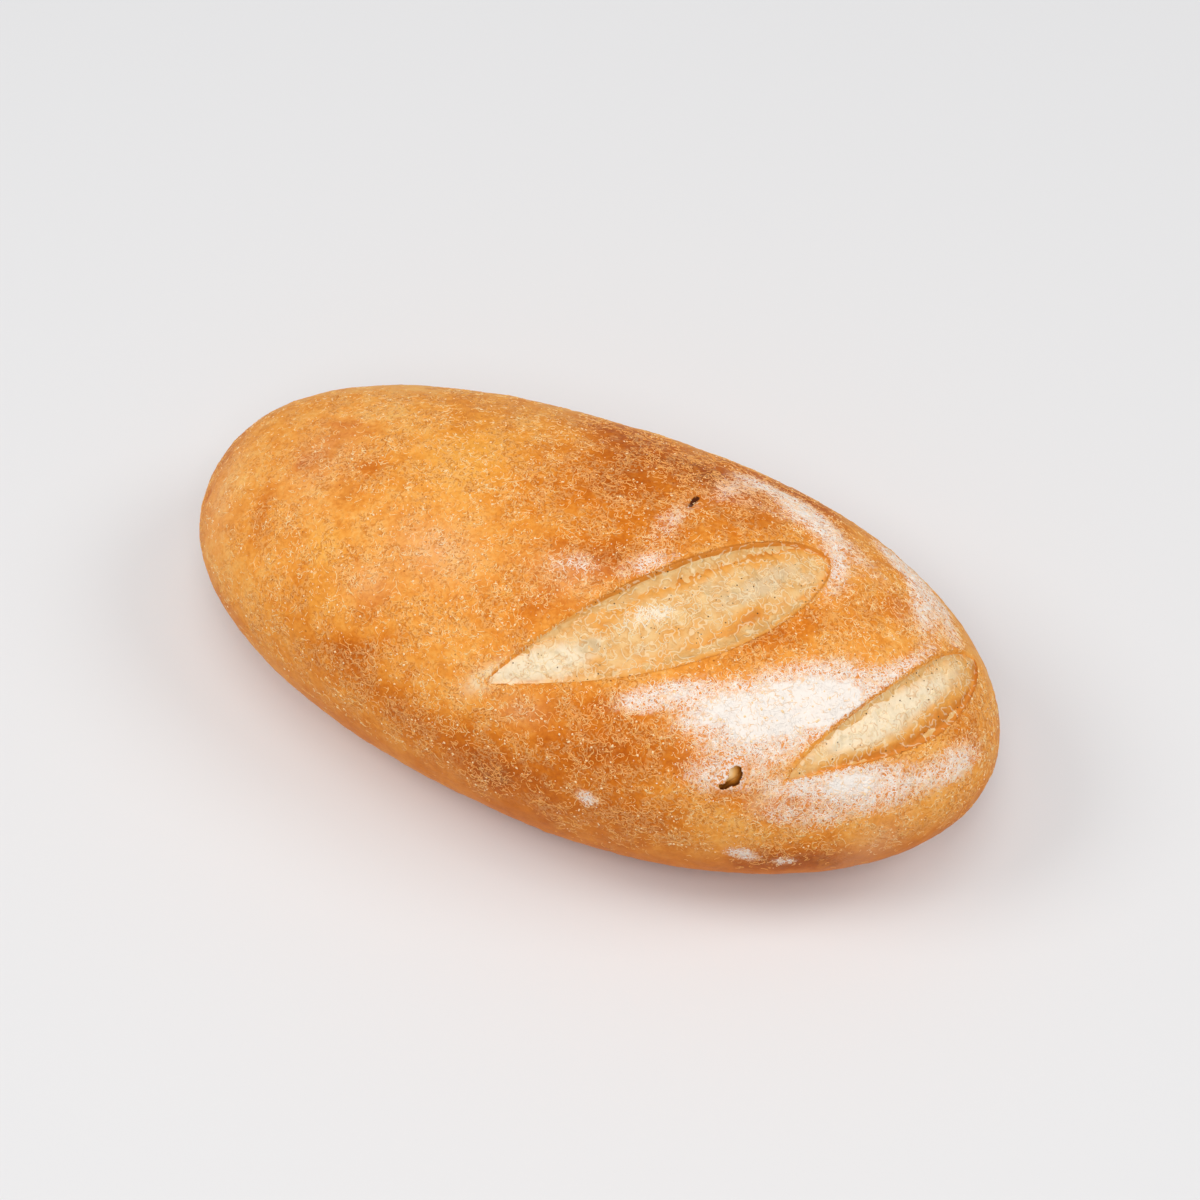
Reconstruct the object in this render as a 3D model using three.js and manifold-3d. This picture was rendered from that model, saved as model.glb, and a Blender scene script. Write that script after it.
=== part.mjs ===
// An oval bread roll with two slashes across its crown, in millimetres, +Z up.
// It lies on its sole, with the origin on the floor under the middle of its box.
// +X runs along the roll towards the slashed end, and -Y is the side where each slash starts.
import * as THREE from 'three';
import { mergeVertices } from 'three/addons/utils/BufferGeometryUtils.js';
import Module from 'manifold-3d';

const wasm = await Module();
wasm.setup();

// Driving dimensions of the baked roll
const LENGTH = 175;
const WIDTH = 87.7; // at the middle of its length
const HEIGHT = 57.8; // at the middle of its length
const BLUNT_END = 2.4; // power of the plan's curve towards -X: the blunter end
const SLASHED_END = 1.95; // power of the plan's curve towards +X
const LEAN = 0.09; // the roll is wider by this share at +X, and narrower at -X
const CROWN_RISE = 0.137; // the crown stands higher by this share towards +X
const SIDE_BOW = -0.56; // the middle lies this far to the side, and the ends as far to the other

// The shape of a slice across the roll
const WAIST = 0.42 * HEIGHT; // height of the widest place
const SOLE_DROP = 1.25 * WAIST; // the lower curve aims below the floor, which flattens the sole
const CROWN_POWER = 2.15;
const SOLE_POWER = 2.3;

// Broad, shallow unevenness of the crust
const SWELL = 0.35; // up and down
const SWELL_X = 13; // spacing along the roll, as a wave length over two pi
const SWELL_Y = 11;
const SWELL_SLANT = 8.5;

// Slashes: where each starts, seen from above, the way it runs and its opened outline.
// Skew moves the most bowed place of the middle line towards the far end.
const SLASHES = [
  { start: [-8.1, -33.8], heading: 44.2, length: 72.6, halfWidth: 10.4, depth: 1.9, skew: 1 },
  { start: [53.1, -28.2], heading: 62.0, length: 49.9, halfWidth: 5.8, depth: 1.7, skew: 1.25 },
];
const SLASH_BOW = -4.0; // how far the opening's middle line leaves the blade's straight line
const TAIL_POWER = 1; // the opening widens evenly from its start
const NOSE_POWER = 0.57; // and closes bluntly at its far end
const DEPTH_FADE = 0.6; // the trough is shallower where the opening is narrow
const FLOOR_PUFF = 0.5; // the crumb rises again by this share along the middle of the trough
const CLEAR_ABOVE = 8; // how far the cut reaches above the crust

// A burst blister on the shoulder: an open bubble under the crust
const BLISTER = { at: [43.9, -31.5], heading: 52, length: 6.2, width: 3.6, depth: 3.2 };

// How finely the surfaces are divided
const STATIONS = 60;
const AROUND = 54;
const CROWN_CROWDING = 0.35; // the lines crowd together over the crown, and spread under the sole
const TROUGH_STATIONS = 30;
const TROUGH_LINES = [-1, -0.88, -0.72, -0.4, 0, 0.4, 0.75, 0.92, 1];
const BLISTER_FACES = [10, 6];

const signedPower = (value, power) => Math.sign(value) * Math.abs(value) ** power;
const smoothstep = THREE.MathUtils.smoothstep;

// Share of the full girth at a station t, from -1 at the blunt end to 1 at the slashed end
function girth(t) {
  const power = t < 0 ? BLUNT_END : SLASHED_END;
  return Math.max(0, 1 - Math.abs(t) ** power) ** (1 / power);
}

function halfWidth(t) {
  return (WIDTH / 2) * (1 + LEAN * t) * girth(t);
}

function sideShift(t) {
  return SIDE_BOW * Math.cos(Math.PI * t);
}

function crownRise(t) {
  return (HEIGHT - WAIST) * (1 + CROWN_RISE * t) * girth(t);
}

function swell(x, y) {
  const broad = Math.sin(x / SWELL_X + 1.3) * Math.cos(y / SWELL_Y - 0.4);
  const slant = Math.sin((x - y) / SWELL_SLANT);
  return SWELL * (broad + 0.6 * slant);
}

// Height of the crust above a place seen from above
function crustHeight(x, y) {
  const t = THREE.MathUtils.clamp((2 * x) / LENGTH, -1, 1);
  const across = Math.min(1, Math.abs(y - sideShift(t)) / Math.max(halfWidth(t), 1e-6));
  const share = (1 - across ** CROWN_POWER) ** (1 / CROWN_POWER);
  return WAIST + (crownRise(t) + swell(x, y) * girth(t)) * share;
}

// A place on the crust, at a station and at an angle round the slice: a quarter turn is the crown
function crustPoint(t, angle) {
  const overWaist = Math.sin(angle) >= 0;
  const power = overWaist ? CROWN_POWER : SOLE_POWER;
  const x = (t * LENGTH) / 2;
  const y = sideShift(t) + halfWidth(t) * signedPower(Math.cos(angle), 2 / power);
  if (overWaist) return new THREE.Vector3(x, y, crustHeight(x, y));
  const z = WAIST + SOLE_DROP * girth(t) * signedPower(Math.sin(angle), 2 / power);
  return new THREE.Vector3(x, y, Math.max(0, z));
}

// A closed skin over rings of points between two end points, its faces pointing out
function closedSkin(firstEnd, rings, lastEnd) {
  const size = rings[0].length;
  const points = [firstEnd, ...rings.flat(), lastEnd];
  const faces = [];
  for (let k = 0; k < size; k++) {
    const next = (k + 1) % size;
    faces.push(0, 1 + next, 1 + k);
    for (let r = 0; r + 1 < rings.length; r++) {
      const here = 1 + r * size;
      const there = here + size;
      faces.push(here + k, here + next, there + k);
      faces.push(here + next, there + next, there + k);
    }
    const last = 1 + (rings.length - 1) * size;
    faces.push(last + k, last + next, points.length - 1);
  }
  const geometry = new THREE.BufferGeometry().setFromPoints(points);
  geometry.setIndex(faces);
  return geometry;
}

function solidOf(geometry) {
  const bare = new THREE.BufferGeometry();
  bare.setAttribute('position', geometry.getAttribute('position').clone());
  bare.setIndex(geometry.getIndex());
  const merged = mergeVertices(bare, 1e-4);
  return new wasm.Manifold(
    new wasm.Mesh({
      numProp: 3,
      vertProperties: new Float32Array(merged.getAttribute('position').array),
      triVerts: new Uint32Array(merged.getIndex().array),
    }),
  );
}

function geometryOf(solid) {
  const mesh = solid.getMesh();
  const geometry = new THREE.BufferGeometry();
  geometry.setAttribute('position', new THREE.BufferAttribute(mesh.vertProperties, mesh.numProp));
  geometry.setIndex(new THREE.BufferAttribute(mesh.triVerts, 1));
  return geometry;
}

// The whole roll before it is slashed
function makeLoaf() {
  const rings = [];
  for (let i = 1; i < STATIONS; i++) {
    const t = -Math.cos((Math.PI * i) / STATIONS);
    const ring = [];
    for (let k = 0; k < AROUND; k++) {
      const even = (2 * Math.PI * k) / AROUND;
      ring.push(crustPoint(t, even + CROWN_CROWDING * Math.cos(even)));
    }
    rings.push(ring);
  }
  return closedSkin(crustPoint(-1, 0), rings, crustPoint(1, 0));
}

// Half the opening's width at a share u of the slash's length
function openingAt(slash, u) {
  const peak = TAIL_POWER / (TAIL_POWER + NOSE_POWER);
  const shape = (v) => v ** TAIL_POWER * (1 - v) ** NOSE_POWER;
  return (slash.halfWidth * shape(u)) / shape(peak);
}

// Depth of the trough under the crust, at a share u of the slash's length.
// The place k across it goes from -1 at the near edge to 1 at the far one, whose wall is steeper.
function troughDepth(slash, u, k) {
  const narrowness = (openingAt(slash, u) / slash.halfWidth) ** DEPTH_FADE;
  const nearWall = 0.3 + 0.7 * smoothstep(k, -1, -0.75);
  const farWall = 0.45 + 0.55 * smoothstep(-k, -1, -0.88);
  const puff = 1 - FLOOR_PUFF * (1 - k * k);
  return slash.depth * narrowness * nearWall * farWall * puff;
}

// The solid that opens a slash: its underside is the trough, and its top is clear of the crust
function makeSlashCut(slash) {
  const heading = THREE.MathUtils.degToRad(slash.heading);
  const along = new THREE.Vector2(Math.cos(heading), Math.sin(heading));
  const aside = new THREE.Vector2(-along.y, along.x);
  const place = (u, k) => {
    const offset = SLASH_BOW * Math.sin(Math.PI * u ** slash.skew) + k * openingAt(slash, u);
    const start = new THREE.Vector2(...slash.start);
    return start.addScaledVector(along, u * slash.length).addScaledVector(aside, offset);
  };
  const end = (u) => {
    const { x, y } = place(u, 0);
    return new THREE.Vector3(x, y, crustHeight(x, y) + CLEAR_ABOVE / 2);
  };
  const rings = [];
  for (let i = 1; i < TROUGH_STATIONS; i++) {
    const u = (1 - Math.cos((Math.PI * i) / TROUGH_STATIONS)) / 2;
    const floor = TROUGH_LINES.map((k) => {
      const { x, y } = place(u, k);
      return new THREE.Vector3(x, y, crustHeight(x, y) - troughDepth(slash, u, k));
    });
    const lid = [1, -1].map((k) => {
      const { x, y } = place(u, k);
      return new THREE.Vector3(x, y, crustHeight(x, y) + CLEAR_ABOVE);
    });
    rings.push([...floor, ...lid]);
  }
  return closedSkin(end(0), rings, end(1));
}

// The bubble under the burst blister, level with the crust that it opened
function makeBlisterCut() {
  const [x, y] = BLISTER.at;
  const step = 1;
  const slopeX = (crustHeight(x + step, y) - crustHeight(x - step, y)) / (2 * step);
  const slopeY = (crustHeight(x, y + step) - crustHeight(x, y - step)) / (2 * step);
  const out = new THREE.Vector3(-slopeX, -slopeY, 1).normalize();
  const level = new THREE.Quaternion().setFromUnitVectors(new THREE.Vector3(0, 0, 1), out);
  const turn = new THREE.Quaternion().setFromAxisAngle(out, THREE.MathUtils.degToRad(BLISTER.heading));
  const bubble = new THREE.SphereGeometry(1, ...BLISTER_FACES);
  bubble.rotateX(Math.PI / 2);
  bubble.scale(BLISTER.length / 2, BLISTER.width / 2, BLISTER.depth);
  bubble.applyQuaternion(turn.multiply(level));
  bubble.translate(x, y, crustHeight(x, y));
  return bubble;
}

const crust = new THREE.MeshStandardMaterial({ color: 0xd9964f, roughness: 0.75, metalness: 0 });

function makeRoll() {
  let solid = solidOf(makeLoaf());
  for (const cut of [...SLASHES.map(makeSlashCut), makeBlisterCut()]) solid = solid.subtract(solidOf(cut));
  const geometry = geometryOf(solid);
  geometry.computeBoundingBox();
  const middle = geometry.boundingBox.getCenter(new THREE.Vector3());
  geometry.translate(-middle.x, -middle.y, 0);
  geometry.computeVertexNormals();
  const roll = new THREE.Mesh(geometry, crust);
  roll.name = 'roll';
  return roll;
}

const breadRoll = new THREE.Group();
breadRoll.add(makeRoll());

export default breadRoll;
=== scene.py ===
# An oval bread roll, baked golden, with two opened slashes, a burst blister and a dusting of flour.
# Lengths are millimetres while the shapes are worked out, and metres once they are meshes.
import math

import bpy
import numpy as np
from mathutils import Matrix, Vector
from mathutils.kdtree import KDTree


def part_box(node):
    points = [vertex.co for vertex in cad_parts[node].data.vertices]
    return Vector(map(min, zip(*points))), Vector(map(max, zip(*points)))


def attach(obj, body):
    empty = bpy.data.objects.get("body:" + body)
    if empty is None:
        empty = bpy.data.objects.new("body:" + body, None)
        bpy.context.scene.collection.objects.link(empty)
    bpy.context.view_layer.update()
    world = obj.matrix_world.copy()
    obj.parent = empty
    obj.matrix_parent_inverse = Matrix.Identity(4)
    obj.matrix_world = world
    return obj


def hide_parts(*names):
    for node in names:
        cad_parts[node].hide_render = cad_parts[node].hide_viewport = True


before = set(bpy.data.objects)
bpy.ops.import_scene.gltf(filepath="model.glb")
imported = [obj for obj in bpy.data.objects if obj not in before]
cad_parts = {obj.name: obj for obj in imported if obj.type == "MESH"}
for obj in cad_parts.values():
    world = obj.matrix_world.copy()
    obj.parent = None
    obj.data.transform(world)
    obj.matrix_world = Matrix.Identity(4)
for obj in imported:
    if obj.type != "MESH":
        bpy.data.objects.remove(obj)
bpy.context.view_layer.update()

MM = 0.001

# The roll's main sizes, from the solid that it replaces
solid_low, solid_high = (np.array(corner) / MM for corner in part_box("roll"))
LENGTH = solid_high[0] - solid_low[0]
WIDTH = 0.9969 * (solid_high[1] - solid_low[1])  # at the middle of the length
HEIGHT = 0.9878 * solid_high[2]  # at the middle of the length

# The form of the roll
BLUNT_END = 2.4
SLASHED_END = 1.95
LEAN = 0.09
CROWN_RISE = 0.137
SIDE_BOW = -0.56
WAIST = 0.42 * HEIGHT
SOLE_DROP = 1.25 * WAIST
CROWN_POWER = 2.15
SOLE_POWER = 2.3
SWELL = 0.35
SWELL_X = 13.0
SWELL_Y = 11.0
SWELL_SLANT = 8.5

# The slashes, as the solid has them
SLASHES = {
    "long": dict(start=(-8.1, -33.8), heading=44.2, length=72.6, half_width=10.4, depth=1.9, skew=1.0),
    "short": dict(start=(53.1, -28.2), heading=62.0, length=49.9, half_width=5.8, depth=1.7, skew=1.25),
}
SLASH_BOW = -4.0
TAIL_POWER = 1.0
NOSE_POWER = 0.57
DEPTH_FADE = 0.6
FLOOR_PUFF = 0.5

# The burst blister
BLISTER_AT = (43.8, -31.9)
BLISTER_HEADING = 76.0
BLISTER_DEPTH = 0.9  # of its deepest place, under the crust
# Its torn opening, a comma whose tail points down the side: places up the slope and across it
BLISTER_OPENING = [
    (1.3, 1.65), (0.5, 1.2), (-0.65, 0.45), (-1.5, 0.2), (-2.2, 0.75), (-2.8, 0.4), (-2.8, -0.25),
    (-2.1, -0.8), (-1.45, -0.8), (-0.7, -1.3), (0.0, -1.6), (0.9, -1.5), (1.75, -1.05), (2.45, -0.4),
    (3.0, 0.35), (3.0, 1.1), (2.35, 1.75),
]
BLISTER_DEEPEST = (1.3, -0.35)  # where the bubble is deepest, placed the same way
BLISTER_AROUND = 120
# The rings around the opening, from outside in: the reach from its edge and the height over the crust
BLISTER_SKIRT = [
    (2.6, -0.9), (2.3, -0.12), (2.0, 0.02), (1.5, 0.03), (1.05, 0.04), (0.7, 0.06), (0.4, 0.09),
    (0.15, 0.10),
]
BLISTER_WALL = (0.06, 0.14, 0.24, 0.36, 0.5, 0.64, 0.78, 0.9)  # shares of the way down inside
LIP_FLOUR = (0, 0, 0, 0, 0.1, 0.3, 0.6, 0.8, 0.7)  # flour on each ring, up to the edge of the opening
BLISTER_REACH = 8.0  # the blister changes nothing farther than this from its middle
BLISTER_ROOM = 1.4  # the crust's mesh dips this far under the bubble

# How finely the crust is divided: more finely over the crown and towards the slashed end
RINGS = 340
AROUND = 290
CROWN_CROWDING = 0.55
BLUNT_HALF_SHARE = 0.8  # stations in a length of the blunt half, where the slashed half has 1.25
SLASHED_HALF_SHARE = 1.25
CRUMB_GRID = {"long": (380, 110), "short": (260, 76)}  # rings along the crumb, and points across it

# How the crust and the crumb meet in a slash
UNDER_CRUMB = 1.6  # the crust's mesh dips this far under the crumb
WALL_RUN = 0.6  # width of the steep wall at the lip
LIP_RISE = 0.10  # the crust swells by this much along the lip
LIP_RUN = 0.8
SNAP = 0.30  # points of the crust this close to a slash's outline move onto it
SLASH_REACH = 45.0  # no part of a slash is farther than this from its middle, along x or y
FAR_AWAY = 99.0
PAD_THICKNESS = 0.6  # the crumb is a closed pad
PAD_END_DEPTH = 1.5

# Fine unevenness of the crust and of the crumb: height, spacing and seed of each layer of waves
SKIN_WAVES = [(0.05, 11.0, 1), (0.03, 4.0, 2), (0.02, 2.0, 3)]
CRUMB_WAVES = [(0.14, 6.0, 11), (0.08, 2.6, 12), (0.04, 1.2, 13)]

# Fields of colour on the crust: middle (x, y), half length, half width, heading, amount
BROWNED = [
    (-1, 15, 13, 13, 0, 1.05), (-6, 30, 12, 6, 0, 0.7), (18, 26, 11, 7, -10, 1.3),
    (34, 34, 8, 4, -25, 0.9), (20, 35, 14, 4, -8, 0.7), (-4, 34, 12, 4, 0, 0.4),
    (4, -4, 10, 4.5, 20, 0.85), (14, 7, 5, 5, 30, 0.4), (16, -30, 5, 3, 25, 0.5),
    (17, -36, 17, 8, 8, 0.95), (2, -43, 15, 6, -3, 0.9), (28, -41, 9, 5, 10, 0.8),
    (35, -32, 5, 4, 20, 0.5), (-25, -39.5, 20, 6, -12, 0.8), (60, -35, 13, 5.0, 22, 1.1),
    (-3, -17, 6, 4, 30, 0.5), (54, -31, 6, 4, 20, 0.6), (45, -33, 6, 3, 25, 0.5),
    (42, -3, 10, 3.6, 52, 0.8), (59, 15, 5, 3, 45, 0.7), (-84, 0, 18, 4, 90, 0.4),
    (-67, -15, 8, 2.5, -75, 0.6), (-62.5, -1, 3, 2.2, 60, 0.75), (-49, 0.7, 2.5, 1.5, 0, 0.45),
    (-59.5, 10.5, 6, 1.5, 10, 0.55), (-35, -27, 3.5, 3, 40, 0.55), (-30.5, -31.5, 4, 2, 30, 0.5),
    (-40, -34, 4, 2.5, 0, 0.5), (-57, 8, 5, 1.5, 20, 0.4), (-36, 17, 4, 2, 20, 0.4),
    (-52, -25, 4, 2, -50, 0.4), (-35, -34, 4, 2.5, 0, 0.4), (81, 2, 5, 6, 80, 0.5),
    (27, 17, 6, 4, 30, 0.5),
]
GILDED = [
    (-31, 10, 9, 10, 8, 0.8), (-50, -18, 4, 4, 0, 0.7), (-48, -27, 5, 5, 0, 0.4),
]
BLUSHED = [
    (-28, -13, 9, 6, -5, 0.8), (-38, -23, 5, 4, 0, 0.6), (-60, 1, 8, 12, 0, 0.5),
    (-80, -10, 14, 6, -75, 0.6), (1, -35, 5, 3, 9, 0.6), (-1, -10, 8, 4, 0, 0.6),
    (72, -25, 10, 5, 45, 0.7),
]
FLOURED = [
    (13, -1.5, 5.5, 2.2, 45, 0.42), (0, -7, 5, 2.5, 10, 0.28), (13, 10, 7, 2.6, 80, 0.28),
    (29, 23.5, 6, 3, 0, 0.15), (49, 22, 7, 3, -30, 0.25), (44, 13, 6, 3, -60, 0.3),
    (61, 13, 6, 4, -60, 0.1), (20, 26, 9, 4, 76, 0.26), (27, 30.5, 7, 2.5, -10, 0.45),
    (36, 27, 6, 3.5, -25, 0.8), (45.5, 18, 7, 2.8, -60, 0.4), (56.5, 28.5, 7, 3.2, -25, 0.8),
    (63.5, 20, 8, 3, -60, 0.5), (66, 24, 4, 3, -35, 0.4), (71, 18, 5, 3, -50, 0.3),
    (48.5, -16, 14, 5.4, 42, 1.2), (56, -12.5, 7, 4.5, 48, 0.85), (65, 0, 11, 2.2, 65, 0.5),
    (31.5, -21.5, 5, 2.4, 33, 0.4), (24.5, -25.4, 6.5, 2.2, 29, 0.7), (44.5, -22.5, 6, 3, 40, 0.65),
    (36.5, -22.5, 6, 2.6, 42, 0.7), (49, -25, 6, 3, 33, 0.3), (42, -31.5, 7, 4, 25, 0.42),
    (54.5, -27.5, 5, 2.2, 30, 0.4), (54, -31.5, 5, 3, 25, 0.3), (63.5, -22.5, 6.5, 2.8, 38, 1.0),
    (69, -20.5, 5, 3.6, 55, 0.45), (81, -7, 8, 3.5, 62, 0.5), (73, -17, 6, 4, 50, 0.3),
    (62, -28, 6, 3, 35, 0.3), (18, -42, 2, 1.4, 0, 0.7), (49, -37, 3, 1.6, 18, 0.8),
    (57, -34, 2, 1.4, 24, 0.6),
]
TIPS = [(-7.3, -31.9, 4.8, 1.7, 40, 1.5), (51.0, -30.5, 4.0, 1.3, 55, 0.6)]
# Small flecks baked brown: middle (x, y) and half width
FLECKS = [(-33, -33.2, 0.9), (-27.5, -32.5, 0.7), (-23.4, -35.5, 1.2), (-64.4, -1.6, 1.1), (-44, -36, 0.7)]
# Small unbroken blisters in the crust: middle (x, y), radius and height
BLISTERS = [
    (-68.3, -22.4, 0.8, 0.22), (-64.4, -24.3, 0.9, 0.25), (-56.4, -24.6, 0.8, 0.22),
    (-61.0, -28.5, 1.0, 0.3), (-53.6, -30.5, 0.8, 0.22), (-43.1, -23.6, 1.5, 0.2),
    (-35.0, 14.0, 0.9, 0.2), (-20.0, 6.0, 0.8, 0.18),
]
# A nick in the crown and a crease at the blunt end: the two ends of each, its half width and its depth
NICK_ENDS = ((14.6, 15.8), (15.0, 18.4))
NICK_HALF_WIDTH = 0.6
NICK_DEPTH = 0.45
CREASE_ENDS = ((-84.4, -10.3), (-83.4, -8.4))
CREASE_HALF_WIDTH = 0.5
CREASE_DEPTH = 0.30

# Fields of colour on the crumb: along the slash, beside its middle line, half length, half width, amount
TOASTED = {
    "long": [
        (24.9, 2.6, 2.5, 1.5, 0.7), (28.4, 4.6, 5.0, 1.8, 0.6), (38.0, 7.6, 9.0, 2.0, 0.8),
        (52.0, 7.8, 10.0, 2.3, 0.9), (62.0, 6.2, 6.0, 2.4, 0.8), (43.0, 6.0, 2.0, 2.0, 0.5),
        (36.8, -2.8, 2.5, 1.3, 0.9), (42.0, -2.8, 2.0, 1.5, 0.6), (21.4, -3.6, 2.0, 1.2, 0.7),
        (45.0, -6.2, 7.0, 1.2, 0.8), (53.0, -5.5, 4.0, 1.5, 0.8), (52.6, -4.2, 3.5, 1.4, 0.7),
        (30.0, -6.0, 6.0, 1.5, 0.4), (63.0, -2.0, 1.5, 1.5, 0.6),
    ],
    "short": [
        (9.0, -1.6, 4.0, 0.8, 0.6), (15.8, -3.0, 5.0, 0.8, 1.0), (21.6, -4.2, 4.0, 0.9, 0.9),
        (27.7, -4.0, 5.0, 1.5, 0.8), (32.8, -3.0, 5.0, 2.2, 0.7), (37.9, -3.3, 6.0, 2.0, 0.6),
        (42.0, 1.5, 5.0, 3.8, 0.15), (48.0, 1.0, 2.0, 3.5, 0.4),
    ],
}
PALE = {
    "long": [(8.0, 0.0, 9.0, 3.0, 1.0), (16.5, -1.0, 5.0, 3.0, 0.6), (34.0, 1.0, 6.0, 2.5, 0.25)],
    "short": [
        (24.3, 1.6, 10.0, 3.2, 1.1), (16.5, 1.3, 7.0, 2.5, 0.9), (34.5, 1.3, 4.0, 2.2, 0.6),
        (41.0, 0.8, 5.0, 3.0, 0.4),
    ],
}
GLASSY = {
    "long": [
        (21.0, 0.1, 2.2, 1.4, 1.0), (30.4, -3.6, 2.0, 1.2, 0.4), (55.0, -0.4, 8.0, 2.5, 0.7),
        (48.0, 4.0, 3.0, 2.0, 0.45), (61.0, 1.5, 4.0, 2.0, 0.5), (67.0, -2.0, 2.5, 2.0, 0.4),
    ],
    "short": [(34.5, -1.9, 3.0, 1.2, 0.3), (11.0, 0.3, 4.0, 0.9, 0.4)],
}
CRUMB_FLOURED = {
    "long": [(34.8, 1.6, 5.5, 1.3, 0.75), (31.5, 3.4, 3.5, 1.2, 0.4)],
    "short": [(21.0, 1.5, 5.0, 1.6, 0.5)],
}
# How strongly the rim of the crumb is toasted: at the far edge, at the near edge, and the share of the
# slash's length at which the toasting sets in on each
RIM_TOAST = {"long": (0.85, 0.8, 0.28, 0.34), "short": (0.35, 0.9, 0.55, 0.16)}
# The largest bubbles of the crumb: along the slash, beside its middle line, radius and depth
BUBBLES = {
    "long": [
        (21.0, 0.1, 1.5, 0.45), (25.6, -0.6, 0.8, 0.3), (42.6, -0.6, 0.9, 0.3), (46.5, 3.0, 1.1, 0.3),
        (52.5, 1.5, 1.3, 0.3), (57.5, 2.4, 1.2, 0.35), (62.0, -0.5, 0.8, 0.3),
    ],
    "short": [
        (14.0, 1.4, 0.6, 0.25), (23.0, 2.9, 0.6, 0.25), (27.5, -0.5, 0.7, 0.25), (33.0, 1.0, 0.6, 0.2),
    ],
}
# Dimples of burst bubbles in the crumb: how many, smallest and largest radius, depth for each
# millimetre of radius, and seed
DIMPLES = {"long": (85, 0.3, 1.1, 0.28, 4), "short": (34, 0.3, 0.8, 0.26, 5)}

# Threads on the crust and webs on the crumb: how many in a square metre where they are densest, shortest
# and longest, half thickness, and the parts that each is made of
THREADS = {
    "long_threads": (3.6e5, 1.2, 2.8, 0.095, 7),
    "short_threads": (7.6e5, 0.6, 1.5, 0.085, 5),
    "floured_threads": (2.0e6, 0.9, 2.2, 0.10, 6),
    "long_slash_webs": (3.2e5, 1.5, 4.5, 0.08, 9),
    "short_slash_webs": (3.2e5, 1.2, 3.0, 0.07, 8),
    "floured_webs": (2.2e6, 1.5, 4.0, 0.12, 9),
}
THREAD_SWEEPS = (30, 80, 130, 180, 240, 320)  # how far each kind of thread is curled, in degrees
# Loose grains and flakes: how many in a square metre, smallest and largest
GRAINS = {"flour_grains": (1.0e6, 0.06, 0.15), "skin_flakes": (1.5e5, 0.11, 0.27)}
CLUMP_SPACING = 3.0  # threads, webs and grains lie in clumps about this far apart

# Colours of the crust, from pale gold to dark brown
BAKED = [
    (0.0, (0.97, 0.52, 0.14)),
    (0.25, (0.89, 0.345, 0.050)),
    (0.5, (0.73, 0.208, 0.013)),
    (0.75, (0.56, 0.125, 0.004)),
    (1.0, (0.36, 0.070, 0.002)),
]
GILT = (0.97, 0.46, 0.07)
BLUSH = (0.95, 0.56, 0.30)
STAIN = (0.70, 0.225, 0.026)
UNDER_FLOUR = (0.78, 0.30, 0.10)
TIP_PALE = (0.93, 0.68, 0.40)
GROOVE_SHADE = (0.56, 0.145, 0.012)
PORE_SHADE = (0.38, 0.080, 0.004)
RIM_BROWN_AND_SHADE = (0.62, 0.19, 0.018)
NICK_SHADE = (0.085, 0.017, 0.002)
# The colour of painted highlights, small glints of light on the crust
PAINTED_GLINT = (1.0, 0.88, 0.68)
THREAD_GOLD = (1.0, 0.60, 0.24)
THREAD_PALE = (1.0, 0.78, 0.60)
FLOUR_SHADED = (0.93, 0.83, 0.74)
FLOUR_WHITE = (0.98, 0.91, 0.85)
# Colours of the crumb
CRUMB_DEEP = (0.80, 0.42, 0.13)
CRUMB_LIGHT = (0.88, 0.57, 0.25)
CRUMB_PALE = (0.93, 0.79, 0.57)
CRUMB_GLASSY = (0.74, 0.57, 0.36)
BUBBLE_SHADE = (0.66, 0.49, 0.25)
CRUMB_FLOUR = (0.99, 0.86, 0.66)
TOAST_GOLD = (0.85, 0.37, 0.062)
TOAST_BROWN = (0.68, 0.225, 0.024)
SEAM_SHADE = (0.68, 0.31, 0.07)
WEB_PALE = (0.99, 0.82, 0.54)
PINHOLE_SHADE = (0.10, 0.04, 0.008)
# Colours inside the burst blister, from its lip down: toasted, and darker deeper in as painted shade
BLISTER_TOAST_AND_SHADE = [
    (0.0, (0.96, 0.66, 0.35)),
    (0.35, (0.80, 0.41, 0.12)),
    (0.7, (0.42, 0.14, 0.016)),
    (1.0, (0.09, 0.022, 0.003)),
]
# Each pattern's seed moves it by this share of a metre, so that no two patterns agree
PATTERN_SHIFT = (0.37, 0.11, 0.73)

# The camera, at the photograph's viewing angle
CAMERA_AZIMUTH = 24.213
CAMERA_ELEVATION = 58.0
CAMERA_DISTANCE = 616.95
CAMERA_TARGET = (-7.006, 20.216, 0.0)
LENS = 85.0
SENSOR = 36.0

# The studio
FLOOR_SIZE = 3000.0
FLOOR_COLOUR = (0.80, 0.80, 0.812)
SKY_COLOUR = (0.94, 0.99, 1.05)
SOFTBOX_COLOUR = (1.0, 0.975, 0.94)
SKY_STRENGTH = 0.32
SOFTBOX_AWAY = 1400.0
SOFTBOX_SIZE = 650.0
# Each softbox's turn from the camera's side, its height angle and its power
SOFTBOXES = [(0.0, 60.0, 5.0), (-90.0, 50.0, 4.9), (90.0, 50.0, 4.0), (0.0, 88.0, 3.9)]


def smoothstep(value, low, high):
    share = np.clip((value - low) / (high - low), 0.0, 1.0)
    return share * share * (3.0 - 2.0 * share)


def signed_power(value, power):
    return np.sign(value) * np.abs(value) ** power


def waves(points, spacing, seed, count=28):
    """A smooth uneven field over points, with a mean of 0 and a spread of about 1."""
    rng = np.random.default_rng(seed)
    total = np.zeros(len(points))
    for _ in range(count):
        direction = rng.normal(size=3)
        direction *= 2.0 * math.pi / (spacing * rng.uniform(0.75, 1.35) * np.linalg.norm(direction))
        total += np.sin(points @ direction + rng.uniform(0.0, 2.0 * math.pi))
    return total / math.sqrt(count / 2.0)


def layered_waves(points, layers):
    return sum(height * waves(points, spacing, seed) for height, spacing, seed in layers)


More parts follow.
